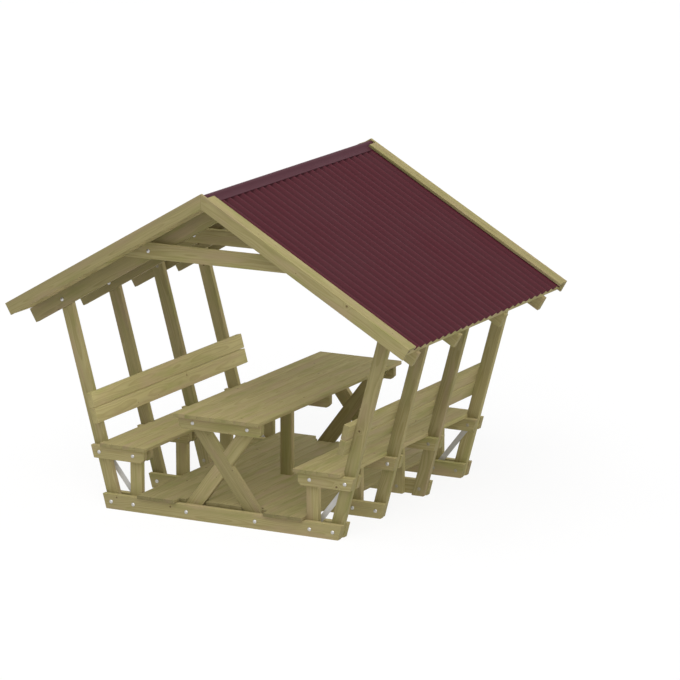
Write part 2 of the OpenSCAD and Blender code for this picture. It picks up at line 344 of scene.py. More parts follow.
def shaded(tree, colour, shade):
    """A colour made lighter or darker by a factor."""
    grey = add(tree, "ShaderNodeCombineColor", {0: shade, 1: shade, 2: shade})
    return blended(tree, 1.0, colour, grey.outputs[0], "MULTIPLY")


def eased(tree, value, low, high, start=0.0, end=1.0):
    """Value carried smoothly from the range low..high to start..end."""
    made = add(
        tree, "ShaderNodeMapRange", {0: value, 1: low, 2: high, 3: start, 4: end},
        interpolation_type="SMOOTHSTEP",
    )
    return made.outputs[0]


def stretched(tree, coordinates, sizes):
    """A board's coordinates, each divided by a size, as one vector."""
    return vector(tree, *(sums(tree, "DIVIDE", *pair) for pair in zip(coordinates, sizes)))


def noise(tree, place, detail=2.0, roughness=0.5):
    """Outputs of a Noise Texture of scale 1 at a place that is already in its own size."""
    return add(
        tree, "ShaderNodeTexNoise",
        {"Vector": place, "Scale": 1.0, "Detail": detail, "Roughness": roughness},
    ).outputs


def parts_of_colour(tree, colour):
    """The three numbers that a colour holds."""
    return add(tree, "ShaderNodeSeparateColor", {0: colour}).outputs


def new_group(name, kind, inputs, outputs):
    """(tree, its inputs, its outputs) of an empty group, from the label and type of each socket."""
    tree = bpy.data.node_groups.new(name, kind)
    for way, sockets in (("INPUT", inputs), ("OUTPUT", outputs)):
        for label, socket in sockets.items():
            tree.interface.new_socket(label, in_out=way, socket_type=f"NodeSocket{socket}")
    given, result = tree.nodes.new("NodeGroupInput"), tree.nodes.new("NodeGroupOutput")
    return tree, given.outputs, result.inputs


def sawn_pine_group():
    """Growth rings, fibres, patches of treatment and knots of one board, in the board's own coordinates."""
    tree, given, result = new_group(
        "Sawn Pine",
        "ShaderNodeTree",
        {
            "Board": "Vector",
            "Tone": "Float",
            "End Grain": "Float",
            **dict.fromkeys(WOOD_COLOURS, "Color"),
            "Ring Width": "Float",
        },
        {"Color": "Color", "Roughness": "Float", "Height": "Float"},
    )
    # along, across and through the board
    board = add(tree, "ShaderNodeSeparateXYZ", {0: given["Board"]}).outputs

    # knots: a few cells of the board hold one
    cell, knot_chance, smallest_knot, largest_knot = 0.15, 0.14, 0.022, 0.058
    cells = add(
        tree, "ShaderNodeTexVoronoi", {"Vector": stretched(tree, board, (cell, cell)), "Scale": 1.0},
        voronoi_dimensions="2D",
    ).outputs
    chance = parts_of_colour(tree, cells["Color"])
    here = sums(tree, "GREATER_THAN", chance[0], 1 - knot_chance)
    radius = eased(tree, chance[1], 0.0, 1.0, smallest_knot, largest_knot)
    reach = sums(tree, "DIVIDE", cells["Distance"], radius)
    knot = sums(tree, "MULTIPLY", eased(tree, reach, 0.75, 1.15, 1.0, 0.0), here)
    swirl = sums(tree, "MULTIPLY", eased(tree, reach, 0.8, 4.5, 1.0, 0.0), here)

    # growth rings about the pith, bent by the tree's growth and by the knots. Each noise here and
    # below has its size along, across and through the board
    wander, rings_round_knot = 0.045, 1.6
    bends = parts_of_colour(tree, noise(tree, stretched(tree, board, (0.55, 0.16, 0.16)))["Color"])
    squares = []
    for bend, place in ((bends[0], board[1]), (bends[1], board[2])):
        bent = sums(tree, "MULTIPLY_ADD", sums(tree, "SUBTRACT", bend, 0.5), wander, place)
        squares.append(sums(tree, "MULTIPLY", bent, bent))
    from_pith = sums(tree, "SQRT", sums(tree, "ADD", *squares))
    count = sums(tree, "DIVIDE", from_pith, given["Ring Width"])
    turn = sums(tree, "FRACT", sums(tree, "MULTIPLY_ADD", swirl, rings_round_knot, count))
    ring = sums(tree, "MULTIPLY", eased(tree, turn, 0.25, 0.88), eased(tree, turn, 0.92, 1.0, 1.0, 0.0))

    # fibres, streaks, and patches where the treatment took more or less
    fibre = noise(tree, stretched(tree, board, (0.14, 0.0028, 0.0028)), 3.0, 0.6)[0]
    streak = noise(tree, stretched(tree, board, (0.8, 0.022, 0.022)))[0]
    patches = parts_of_colour(tree, noise(tree, stretched(tree, board, (0.42, 0.09, 0.09)))["Color"])

    ring_strength = 0.62
    wood = blended(tree, sums(tree, "MULTIPLY", ring, ring_strength), given["Pale"], given["Late"])
    for patch, strength, colour in ((patches[0], 0.75, "Warm"), (patches[1], 0.70, "Green")):
        wood = blended(tree, eased(tree, patch, 0.48, 0.72, 0.0, strength), wood, given[colour])
    wood = blended(tree, knot, wood, given["Knot"])

    # each shading value, the range it is read over, and the shades at that range's ends
    shade = given["Tone"]
    for value, low, high, start, end in (
        (fibre, 0.25, 0.75, 0.94, 1.045),
        (streak, 0.3, 0.7, 0.955, 1.035),
        (given["End Grain"], 0.0, 1.0, 1.0, 0.84),
    ):
        shade = sums(tree, "MULTIPLY", shade, eased(tree, value, low, high, start, end))

    knot_polish, ring_relief, fibre_relief = 0.18, 0.35, 0.9
    sawn = eased(tree, fibre, 0.2, 0.8, 0.82, 0.70)
    fill(tree, result, {
        "Color": shaded(tree, wood, shade),
        "Roughness": sums(tree, "SUBTRACT", sawn, sums(tree, "MULTIPLY", knot, knot_polish)),
        "Height": sums(
            tree, "MULTIPLY_ADD", ring, ring_relief, sums(tree, "MULTIPLY", fibre, fibre_relief),
        ),
    })
    return tree


def weathered_group():
    """Soft uneven shading over a manufactured surface: broad stains and fine speckle."""
    tree, given, result = new_group(
        "Weathered",
        "ShaderNodeTree",
        {"Color": "Color", "Broad Size": "Float", "Fine Size": "Float", "Amount": "Float"},
        {"Color": "Color", "Mask": "Float", "Height": "Float"},
    )
    broad_share, fine_share = 0.55, 0.45
    place = add(tree, "ShaderNodeTexCoord").outputs["Object"]
    noises = []
    for size, detail, roughness in (("Broad Size", 3.0, 0.55), ("Fine Size", 2.0, 0.6)):
        scale = sums(tree, "DIVIDE", 1.0, given[size])
        scaled = add(tree, "ShaderNodeVectorMath", {0: place, "Scale": scale}, operation="SCALE")
        noises.append(noise(tree, scaled.outputs[0], detail, roughness)[0])
    broad, fine = noises
    mask = sums(tree, "MULTIPLY_ADD", fine, fine_share, sums(tree, "MULTIPLY", broad, broad_share))
    swing = sums(tree, "MULTIPLY", sums(tree, "SUBTRACT", mask, 0.5), given["Amount"])
    colour = shaded(tree, given["Color"], sums(tree, "ADD", 1.0, swing))
    fill(tree, result, {"Color": colour, "Mask": mask, "Height": fine})
    return tree


def shared_group(name, build):
    """A node group that is built the first time it is asked for."""
    return bpy.data.node_groups.get(name) or build()


# ---------- materials


def new_material(name):
    """A material with an empty tree: (material, tree, inputs of its Principled BSDF)."""
    material = bpy.data.materials.new(name)
    material.use_nodes = True
    tree = material.node_tree
    tree.nodes.clear()
    surface = add(tree, "ShaderNodeBsdfPrincipled")
    add(tree, "ShaderNodeOutputMaterial", {"Surface": surface.outputs[0]})
    return material, tree, surface.inputs


def pine_material(name, settings):
    """Treated pine, with its grain along each board."""
    found = bpy.data.materials.get(name)
    if found:
        return found
    material, tree, surface = new_material(name)
    grain = add(tree, "ShaderNodeGroup", node_tree=shared_group("Sawn Pine", sawn_pine_group))
    for socket, attribute, kind in (
        ("Board", "board", "Vector"),
        ("Tone", "tone", "Fac"),
        ("End Grain", "end_grain", "Fac"),
    ):
        reader = add(tree, "ShaderNodeAttribute", attribute_name=attribute)
        plug(tree, grain.inputs[socket], reader.outputs[kind])
    for socket in WOOD_COLOURS:
        plug(tree, grain.inputs[socket], tuple(getattr(settings, socket.lower())))
    plug(tree, grain.inputs["Ring Width"], settings.ring_width)
    bump = add(
        tree, "ShaderNodeBump",
        {"Height": grain.outputs["Height"], "Strength": 0.35, "Distance": 0.0008},
    )
    fill(tree, surface, {
        "Base Color": grain.outputs["Color"],
        "Roughness": grain.outputs["Roughness"],
        "Normal": bump.outputs[0],
        "Specular IOR Level": 0.12,
    })
    return material


def made_material(
    name, colour, broad, fine, amount, rough, metallic=0.0, bump_height=0.0003, gloss=0.5, dust_and_trough_shade=0.0,
):
    """A manufactured surface with uneven colour, roughness and a fine bump, and, where asked, troughs
    darkened by painted shade and dust.
    """
    found = bpy.data.materials.get(name)
    if found:
        return found
    material, tree, surface = new_material(name)
    worn = add(tree, "ShaderNodeGroup", node_tree=shared_group("Weathered", weathered_group))
    fill(tree, worn.inputs, {
        "Color": tuple(colour), "Broad Size": broad, "Fine Size": fine, "Amount": amount,
    })
    bump = add(
        tree, "ShaderNodeBump",
        {"Height": worn.outputs["Height"], "Strength": 0.4, "Distance": bump_height},
    )
    shown = worn.outputs["Color"]
    # painted shade and dust: the troughs are darkened from the crest attribute
    if dust_and_trough_shade:
        crest = add(tree, "ShaderNodeAttribute", attribute_name="crest").outputs["Fac"]
        shown = shaded(tree, shown, sums(tree, "MULTIPLY_ADD", crest, 2 * dust_and_trough_shade, 1 - dust_and_trough_shade))
    swing = 0.06
    fill(tree, surface, {
        "Base Color": shown,
        "Roughness": eased(tree, worn.outputs["Mask"], 0.3, 0.7, rough - swing, rough + swing),
        "Normal": bump.outputs[0],
        "Metallic": metallic,
        "Specular IOR Level": gloss,
    })
    return material


# ---------- meshes and pieces


def new_object(name, data):
    """An object in the scene."""
    made = bpy.data.objects.new(name, data)
    bpy.context.scene.collection.objects.link(made)
    return made


def new_piece(name, mesh, slot, *stands_for):
    """An object at the origin that rides on the shelter, and may stand for CAD nodes, which it hides. The
    slot argument is not used.
    """
    piece = new_object(name, mesh)
    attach(piece, BODY)
    if stands_for:
        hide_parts(*stands_for)
    return piece


def modified_mesh(mesh, kind, prepare):
    """The mesh after one modifier, which a function prepares."""
    helper = new_object("helper", mesh)
    prepare(helper.modifiers.new(kind, kind))
    bpy.context.view_layer.update()
    graph = bpy.context.evaluated_depsgraph_get()
    made = bpy.data.meshes.new_from_object(helper.evaluated_get(graph))
    helper.modifiers.clear()
    bpy.data.objects.remove(helper)
    return made


def finished_mesh(mesh, kind, **settings):
    """The mesh after one modifier with its settings."""
    def prepare(modifier):
        for name, value in settings.items():
            setattr(modifier, name, value)

    return modified_mesh(mesh, kind, prepare)


def grown_mesh(source, tree, values):
    """The mesh that a geometry tree makes from a mesh, with its named inputs set."""
    def prepare(modifier):
        modifier.node_group = tree
        for item in tree.interface.items_tree:
            if item.in_out == "INPUT" and item.name in values:
                modifier[item.identifier] = values[item.name]

    return modified_mesh(source, "NODES", prepare)


def mesh_from(work, name):
    """A mesh made from a bmesh, which is freed."""
    mesh = bpy.data.meshes.new(name)
    work.to_mesh(mesh)
    work.free()
    return mesh


def outward_normals(mesh):
    """Turns a closed mesh's faces outwards."""
    work = bmesh.new()
    work.from_mesh(mesh)
    bmesh.ops.recalc_face_normals(work, faces=work.faces)
    work.to_mesh(mesh)
    work.free()


def smooth_but_for(mesh, degrees):
    """Shades a mesh smooth, with edges sharper than an angle left hard."""
    mesh.shade_smooth()
    mesh.set_sharp_from_angle(angle=math.radians(degrees))


# ---------- timber pieces


def clean_copy(node):
    """A CAD node's mesh with its triangles merged back into whole faces."""
    work = bmesh.new()
    work.from_mesh(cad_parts[node].data)
    bmesh.ops.remove_doubles(work, verts=work.verts, dist=1e-5)
    bmesh.ops.dissolve_limit(work, angle_limit=math.radians(0.5), verts=work.verts, edges=work.edges)
    mesh = mesh_from(work, node)
    mesh.shade_smooth()
    return mesh


def boards_of(work):
    """The separate boards of a bmesh as lists of faces, in order of their place."""
    seen, boards = set(), []
    for first in work.faces:
        if first.index in seen:
            continue
        seen.add(first.index)
        board, queue = [], [first]
        while queue:
            face = queue.pop()
            board.append(face)
            for edge in face.edges:
                for near in edge.link_faces:
                    if near.index not in seen:
                        seen.add(near.index)
                        queue.append(near)
        boards.append(board)

    def place(board):
        middle = sum((f.calc_center_median() for f in board), Vector()) / len(board)
        return tuple(round(v, 2) for v in middle)

    return sorted(boards, key=place)


def board_axes(board):
    """(along, across, through) of one board: its longest edge and its widest face give them."""
    edges = {edge for face in board for edge in face.edges}
    longest = max(edges, key=lambda e: e.calc_length())
    along = (longest.verts[1].co - longest.verts[0].co).normalized()
    # a timber across the gable, along the ridge or upright each has one sense
    if along.dot(Vector((0.3, 1, 0.6))) < 0:
        along.negate()
    through = max(board, key=lambda f: f.calc_area()).normal.copy()
    through = (through - along * through.dot(along)).normalized()
    return along, along.cross(through).normalized(), through


def grain_attributes(mesh, name, change):
    """Gives each board of a mesh its own grain coordinates, tone and end grain."""
    # Painted light and shade: a piece's listed shade, partly its pack's tone, scales all its boards
    pack_and_light_shade = next((shade for start, shade in PACK_AND_LIGHT_SHADES if name.startswith(start)), 1.0)
    work = bmesh.new()
    work.from_mesh(mesh)
    work.faces.ensure_lookup_table()
    square_to_grain = 0.7
    kinds = {
        "board": ("FLOAT_VECTOR", "POINT"),
        "tone": ("FLOAT", "POINT"),
        "end_grain": ("FLOAT", "CORNER"),
    }
    for label, kind in kinds.items():
        mesh.attributes.new(label, *kind)
    grain, tone, ends = (mesh.attributes[label] for label in kinds)
    for number, board in enumerate(boards_of(work)):
        draw = random.Random(f"{name} {number}")
        axes = board_axes(board)
        verts = {v for face in board for v in face.verts}
        middle = sum((v.co for v in verts), Vector()) / len(verts)
        shift = (
            draw.uniform(-GRAIN_SHIFT, GRAIN_SHIFT),
            draw.uniform(-PITH_ACROSS, PITH_ACROSS),
            draw.choice((-1, 1)) * draw.uniform(*PITH_BEHIND),
        )
        shade = pack_and_light_shade * (1 + draw.uniform(-change, change))
        for v in verts:
            local = v.co - middle
            grain.data[v.index].vector = [local.dot(axis) + by for axis, by in zip(axes, shift)]
            tone.data[v.index].value = shade
        for face in board:
            is_end = abs(face.normal.dot(axes[0])) > square_to_grain
            for corner_index in mesh.polygons[face.index].loop_indices:
                ends.data[corner_index].value = float(is_end)
    work.free()


def timber_piece(node, edge, settings):
    """A CAD node's timbers with eased edges and grain along each board."""
    mesh = finished_mesh(
        clean_copy(node), "BEVEL", width=edge, segments=2, limit_method="ANGLE",
        angle_limit=math.radians(20), harden_normals=True, use_clamp_overlap=True,
    )
    grain_attributes(mesh, node, settings.board_change)
    mesh.materials.clear()
    mesh.materials.append(pine_material("sawn_green_pine", settings))
    return new_piece(f"{node}_timber", mesh, "treated_pine", node)


def timber_pieces(context, timbers=(), boards=()):
    """Makes pieces of CAD nodes: heavy timbers and boards have edges of their own."""
    settings = context.scene.shelter_timber
    for node in timbers:
        timber_piece(node, settings.timber_edge, settings)
    for node in boards:
        timber_piece(node, settings.board_edge, settings)
    return {"FINISHED"}


class SHELTER_OT_portal_frames(bpy.types.Operator):
    """Makes the posts, sills, rafters and collar ties"""

    bl_idname = "shelter.portal_frames"
    bl_label = "Portal Frames"

    def execute(self, context):
        return timber_pieces(context, timbers=FRAME_TIMBERS)


class SHELTER_OT_benches(bpy.types.Operator):
    """Makes the bench legs, bearers, seats and backrests"""

    bl_idname = "shelter.benches"
    bl_label = "Benches"

    def execute(self, context):
        return timber_pieces(context, timbers=BENCH_TIMBERS, boards=BENCH_BOARDS)


class SHELTER_OT_deck(bpy.types.Operator):
    """Makes the deck boards"""

    bl_idname = "shelter.deck"
    bl_label = "Deck"

    def execute(self, context):
        return timber_pieces(context, boards=["deck"])


class SHELTER_OT_table(bpy.types.Operator):
    """Makes the table top, its bearers and its legs"""

    bl_idname = "shelter.table"
    bl_label = "Table"

    def execute(self, context):
        timber_pieces(context, boards=["table_top"])
        return timber_pieces(context, timbers=TABLE_TIMBERS)


class SHELTER_OT_roof_timber(bpy.types.Operator):
    """Makes the purlins, bargeboards and cover boards"""

    bl_idname = "shelter.roof_timber"
    bl_label = "Roof Timber"

    def execute(self, context):
        return timber_pieces(context, timbers=ROOF_TIMBERS, boards=ROOF_TRIM)


# ---------- roof sheets and cap


def geometry_tree(name, inputs):
    """An empty geometry tree that takes geometry, a material and named numbers, and gives geometry."""
    inputs = {"Geometry": "Geometry", **inputs, "Material": "Material"}
    return new_group(name, "GeometryNodeTree", inputs, {"Geometry": "Geometry"})


def painted(tree, geometry, given, result):
    """Ends a geometry tree: makes its instances real and sets their material."""
    realized = add(tree, "GeometryNodeRealizeInstances", {"Geometry": geometry})
    coated = add(tree, "GeometryNodeSetMaterial", {
        "Geometry": realized.outputs[0], "Material": given["Material"],
    })
    plug(tree, result[0], coated.outputs[0])
    return tree


def corrugated_tree():
    """A sheet in the XZ plane of its slope, with waves that run down it."""
    tree, given, result = geometry_tree("Corrugated Sheet", {
        "Width": "Float",
        "Length": "Float",
        "Waves": "Int",
        "Steps": "Int",
        "Wave Height": "Float",
    })
    grid = add(tree, "GeometryNodeMeshGrid", {
        "Size X": given["Width"],
        "Size Y": given["Length"],
        "Vertices X": sums(tree, "MULTIPLY_ADD", given["Waves"], given["Steps"], 1.0),
        "Vertices Y": 9,
    })
    position = add(tree, "GeometryNodeInputPosition").outputs[0]
    place = add(tree, "ShaderNodeSeparateXYZ", {0: position}).outputs
    share = sums(tree, "ADD", sums(tree, "DIVIDE", place[0], given["Width"]), 0.5)
    turns = sums(tree, "MULTIPLY", sums(tree, "MULTIPLY", share, math.tau), given["Waves"])
    half_height = sums(tree, "DIVIDE", given["Wave Height"], 2)
    rise = sums(tree, "MULTIPLY", sums(tree, "COSINE", turns), half_height)
    moved = add(tree, "GeometryNodeSetPosition", {
        "Geometry": grid.outputs["Mesh"], "Position": vector(tree, place[0], rise, place[1]),
    })
    return painted(tree, moved.outputs[0], given, result)


def crest_at(y, low, high, settings):
    """How near a place along the ridge is to a crest of the waves, from 0 in a trough to 1 on a crest."""
    return 0.5 + 0.5 * math.cos(math.tau * settings.waves * (y - low.y) / (high.y - low.y))


def roof_sheet_piece(side, settings, material):
    """One slope's corrugated sheet, in the place of its CAD node."""
    node = f"{SLOPES[side]}_roof_sheet"
    low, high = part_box(node)
    local = on_slope(node, side)
    top, bottom = max(p.y for p in local), min(p.y for p in local)
    start, stop = min(p.z for p in local), max(p.z for p in local)
    flat = grown_mesh(bpy.data.meshes.new("seed"), corrugated_tree(), {
        "Width": high.y - low.y,
        "Length": stop - start,
        "Waves": settings.waves,
        "Steps": WAVE_STEPS,
        "Wave Height": settings.wave_height,
        "Material": material,
    })
    flat.transform(Matrix.Translation((0, (top + bottom) / 2, (start + stop) / 2)))
    flat.transform(slope_matrix(side))
    mesh = finished_mesh(flat, "SOLIDIFY", thickness=settings.thickness, offset=0.0)
    outward_normals(mesh)
    crest = mesh.attributes.new("crest", "FLOAT", "POINT")
    for item, v in zip(crest.data, mesh.vertices):
        item.value = crest_at(v.co.y, low, high, settings)
    smooth_but_for(mesh, 50)
    return new_piece(f"{node}_waves", mesh, "roof_sheet", node)


def ridge_shade_strip_piece(side, settings, material):
    """Dark strip that closes the waves of one slope under the ridge cap's flange: painted shade standing for
    the shadow in those wave holes.
    """
    sheet = f"{SLOPES[side]}_roof_sheet"
    low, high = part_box(sheet)
    crown = max(p.y for p in on_slope(sheet, side))
    to_row = slope_matrix(side)
    _, _, pitch = roof_slope()
    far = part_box("ridge_cap")[1].x / math.cos(pitch) - settings.filler_setback
    near = far - settings.filler_width
    pressed = 0.0003
    work = bmesh.new()
    columns = []
    steps = settings.waves * WAVE_STEPS
    for k in range(steps + 1):
        y = low.y + (high.y - low.y) * k / steps
        depth = settings.wave_height * (1 - crest_at(y, low, high, settings)) + pressed
        columns.append([
            work.verts.new(to_row @ Vector((y, crown - down, along)))
            for down, along in ((0, near), (0, far), (depth, far), (depth, near))
        ])
    for one, two in zip(columns, columns[1:]):
        for k in range(4):
            work.faces.new((one[k], one[(k + 1) % 4], two[(k + 1) % 4], two[k]))
    work.faces.new(columns[0])
    work.faces.new(columns[-1])
    mesh = mesh_from(work, "ridge_filler")
    outward_normals(mesh)
    mesh.materials.append(material)
    return new_piece(f"{SLOPES[side]}_ridge_filler", mesh, None)


def flange_depth():
    """Depth of the ridge cap's underside below the roof line, square to the right slope."""
    past_crown = 0.03
    points = zip(on_slope("ridge_cap", 1), points_of("ridge_cap"))
    return -min(local.y for local, point in points if point.x > past_crown)


def ridge_cap_outline(settings):
    """Upper outline of the ridge cap across the gable: round crown, hollow shoulders and flat flanges."""
    crown_steps, shoulder_steps = 16, 8
    peak, rise, pitch = roof_slope()
    foot_x, _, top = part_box("ridge_cap")[1]
    radius = settings.cap_radius
    centre = Vector((0, 0, top - radius))
    flange_top = flange_depth() - settings.thickness
    flange_peak = Vector((0, 0, peak - flange_top / math.cos(pitch)))
    down = Vector((math.cos(pitch), 0, -math.sin(pitch)))
    square = Vector((math.sin(pitch), 0, math.cos(pitch)))

    def on_crown(turn):
        return centre + radius * Vector((math.cos(turn), 0, math.sin(turn)))

    # the crown ends where its tangent leaves the flange's direction by the shoulder angle
    shoulder = settings.cap_shoulder
    leave = math.pi / 2 - pitch - shoulder
    end = on_crown(leave)
    tangent = Vector((math.sin(leave), 0, -math.cos(leave)))
    run = (end - flange_peak).dot(square) / math.sin(shoulder)
    knee = end + tangent * run
    start = knee + down * run
    curve = [
        end * (1 - t) ** 2 + knee * 2 * t * (1 - t) + start * t ** 2
        for t in (k / shoulder_steps for k in range(shoulder_steps, 0, -1))
    ]
    foot = Vector((foot_x, 0, flange_peak.z - foot_x * rise))
    right = [foot] + curve
    arc_step = (math.pi - 2 * leave) / crown_steps
    arc = [on_crown(leave + arc_step * k) for k in range(crown_steps + 1)]
    left = [Vector((-p.x, 0, p.z)) for p in reversed(right)]
    return right + arc + left


def ridge_cap_piece(settings, material):
    """The ridge cap as one bent sheet, in the place of its CAD node."""
    outline = ridge_cap_outline(settings)
    low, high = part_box("ridge_cap")
    steps = 12
    work = bmesh.new()
    rows = []
    for k in range(steps + 1):
        y = low.y + (high.y - low.y) * k / steps
        rows.append([work.verts.new((p.x, y, p.z)) for p in outline])
    for near, far in zip(rows, rows[1:]):
        for a, b, c, d in zip(near, near[1:], far[1:], far):
            work.faces.new((a, b, c, d))
    bmesh.ops.recalc_face_normals(work, faces=work.faces)
    if work.faces[:][len(outline) // 2].normal.z < 0:
        bmesh.ops.reverse_faces(work, faces=work.faces)
    sheet = mesh_from(work, "ridge_cap")
    mesh = finished_mesh(sheet, "SOLIDIFY", thickness=settings.thickness, offset=-1.0)
    outward_normals(mesh)
    smooth_but_for(mesh, 40)
    mesh.materials.append(material)
    return new_piece("ridge_cap_sheet", mesh, "roof_sheet", "ridge_cap")


class SHELTER_OT_roof_sheets(bpy.types.Operator):
    """Makes the two corrugated roof sheets and the dark strips of painted shade that close their waves under
    the ridge cap
    """

    bl_idname = "shelter.roof_sheets"
    bl_label = "Roof Sheets"

    def execute(self, context):
        settings = context.scene.shelter_roof
        material = made_material(
            "corrugated_sheet", settings.sheet_colour,
            broad=0.5, fine=0.004, amount=0.35, rough=0.6, gloss=0.1, dust_and_trough_shade=settings.dust_and_trough_shade,
        )
        # Painted shade: the strips' near-black colour stands for the shadow in the wave holes
        shadowing = made_material(
            "closed_cell_foam", settings.filler_colour,
            broad=0.1, fine=0.003, amount=0.2, rough=0.9, gloss=0.1,
        )
        for side in SLOPES:
            roof_sheet_piece(side, settings, material)
            ridge_shade_strip_piece(side, settings, shadowing)
        return {"FINISHED"}


class SHELTER_OT_ridge_cap(bpy.types.Operator):
    """Makes the ridge cap"""

    bl_idname = "shelter.ridge_cap"
    bl_label = "Ridge Cap"

    def execute(self, context):
        settings = context.scene.shelter_roof
        material = made_material(
            "bent_ridge_sheet", settings.cap_colour,
            broad=0.4, fine=0.004, amount=0.25, rough=0.6, gloss=0.15,
        )
        ridge_cap_piece(settings, material)
        return {"FINISHED"}


# ---------- hardware


def bolt_lines():
    """Each bolt as (x, z, y of its head's seat, y of its nut's seat), found from the timbers it holds."""
    low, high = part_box("second_sill")
    timber = high.y - low.y
    sill_z = high.z / 2
    bearer_z = middle_of("right_bench_bearers").z
    table_z = middle_of("table_bearers").z
    leg_x = middle_of("right_bench_legs").x
    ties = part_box("collar_ties")
    tie_z = (ties[0].z + ties[1].z) / 2

    # where the rafters' middle lines cross the posts, which lean this far in a metre, and the ties
    _, rise, pitch = roof_slope()
    rafter_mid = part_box("right_rafters")[1].z - (ties[1].z - ties[0].z) / 2 / math.cos(pitch)
    above_ground = 1e-4
    post_foot = middle_at("front_right_post", above_ground)
    lean = middle_at("front_right_post", 1.0) - post_foot
    eave_z = (rafter_mid - rise * post_foot) / (1 + rise * lean)
    tie_x = (rafter_mid - tie_z) / rise

    bolts = []
    for place in FRAMES:
        is_end = place in ENDS
        low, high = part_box(f"{place}_outer_sill" if is_end else f"{place}_sill")
        out = -1 if low.y < 0 else 1
        face = low.y if out < 0 else high.y
        back = face - out * 2 * timber
        behind = back - out * timber
        if is_end:
            low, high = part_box(f"{place}_inner_sill")
            behind = high.y if out < 0 else low.y
        sill_back = behind if is_end else back
        spots = [
            (post_foot + lean * sill_z, sill_z, face, sill_back),
            (leg_x, sill_z, face, sill_back),
            (post_foot + lean * bearer_z, bearer_z, face, behind),
            (leg_x, bearer_z, face, behind),
            (post_foot + lean * eave_z, eave_z, face, back),
            (tie_x, tie_z, face + out * timber, face - out * timber),
        ]
        if is_end:
            leg = f"{place}_cross_leg_a"
            spots.append((middle_at(leg, sill_z), sill_z, face, sill_back))
            spots.append((middle_at(leg, table_z), table_z, face, back))
        bolts += [(side * x, *rest) for side in SLOPES for x, *rest in spots]
    low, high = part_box("middle_table_leg")
    bolts.append((0, table_z, low.y, high.y + timber))
    return bolts


def hardware_tree(name, parts):
    """Puts one fastener, joined from its parts, on each point of a mesh, turned by the point's attribute."""
    tree, given, result = geometry_tree(name, {"Radius": "Float", "Height": "Float"})
    joined = add(tree, "GeometryNodeJoinGeometry")
    for part in parts(tree, given):
        tree.links.new(part, joined.inputs[0])
    turn = add(tree, "GeometryNodeInputNamedAttribute", {"Name": "turn"}, data_type="FLOAT")
    facing = vector(tree, math.pi / 2, 0.0, turn.outputs[0])
    rotation = add(tree, "FunctionNodeEulerToRotation", {0: facing})
    placed = add(tree, "GeometryNodeInstanceOnPoints", {
        "Points": given["Geometry"],
        "Instance": joined.outputs[0],
        "Rotation": rotation.outputs[0],
    })
    return painted(tree, placed.outputs[0], given, result)


def above_seat(tree, geometry):
    """The part of a geometry at or above its seat, closed by its own hull."""
    position = add(tree, "GeometryNodeInputPosition").outputs[0]
    place = add(tree, "ShaderNodeSeparateXYZ", {0: position}).outputs
    below = add(tree, "FunctionNodeCompare", {0: place[2], 1: -1e-5}, operation="LESS_THAN")
    kept = add(tree, "GeometryNodeDeleteGeometry", {
        "Geometry": geometry, "Selection": below.outputs[0],
    })
    return add(tree, "GeometryNodeConvexHull", {"Geometry": kept.outputs[0]}).outputs[0]


def dome_parts(tree, given):
    """A domed head."""
    ball = add(tree, "GeometryNodeMeshUVSphere", {"Segments": 24, "Rings": 12, "Radius": 1.0})
    dome = add(tree, "GeometryNodeTransform", {
        "Geometry": ball.outputs["Mesh"],
        "Scale": vector(tree, given["Radius"], given["Radius"], given["Height"]),
    })
    return [above_seat(tree, dome.outputs[0])]


def nut_parts(tree, given):
    """A washer, a six-sided nut and the bolt's end."""
    # number of sides, radius in nut radii, and start and end in nut heights
    drums = ((24, 1.45, 0.0, 0.2), (6, 1.0, 0.2, 1.0), (16, 0.52, 0.9, 1.25))
    made = []
    for sides, wide, low, high in drums:
        drum = add(tree, "GeometryNodeMeshCylinder", {
            "Vertices": sides,
            "Radius": sums(tree, "MULTIPLY", given["Radius"], wide),
            "Depth": sums(tree, "MULTIPLY", given["Height"], high - low),
        })
        lift = sums(tree, "MULTIPLY", given["Height"], (low + high) / 2)
        moved = add(tree, "GeometryNodeTransform", {
            "Geometry": drum.outputs["Mesh"], "Translation": vector(tree, 0.0, 0.0, lift),
        })
        made.append(moved.outputs[0])
    return made


def fastener_piece(name, points, parts, radius, height, material):
    """All fasteners of one kind as one piece. Each point is (x, y, z, facing along Y)."""
    seed = bpy.data.meshes.new("seed")
    seed.from_pydata([p[:3] for p in points], [], [])
    turn = seed.attributes.new("turn", "FLOAT", "POINT")
    for item, point in zip(turn.data, points):
        item.value = 0.0 if point[3] < 0 else math.pi
    mesh = grown_mesh(seed, hardware_tree(name, parts), {
        "Radius": radius, "Height": height, "Material": material,
    })
    smooth_but_for(mesh, 35)
    return new_piece(name, mesh, "zinc_steel")


class SHELTER_OT_bolts(bpy.types.Operator):
    """Makes the bolt heads and their nuts"""

    bl_idname = "shelter.bolts"
    bl_label = "Bolts"

    def execute(self, context):
        settings = context.scene.shelter_hardware
        bright = made_material(
            "bolt_zinc", settings.zinc,
            broad=0.02, fine=0.002, amount=0.25, rough=0.34, metallic=0.85, bump_height=0.00008,
        )
        dull = made_material(
            "nut_zinc", settings.nut_zinc,
            broad=0.02, fine=0.002, amount=0.25, rough=0.55, metallic=0.4, bump_height=0.00008,
        )
        heads, nuts = [], []
        for x, z, head_y, nut_y in bolt_lines():
            facing = -1 if head_y < nut_y else 1
            heads.append((x, head_y, z, facing))
            nuts.append((x, nut_y, z, -facing))
        fastener_piece(
            "bolt_heads", heads, dome_parts, settings.head_radius, settings.head_height, bright,
        )
        fastener_piece(
            "bolt_nuts", nuts, nut_parts, settings.nut_radius, settings.nut_height, dull,
        )
        return {"FINISHED"}


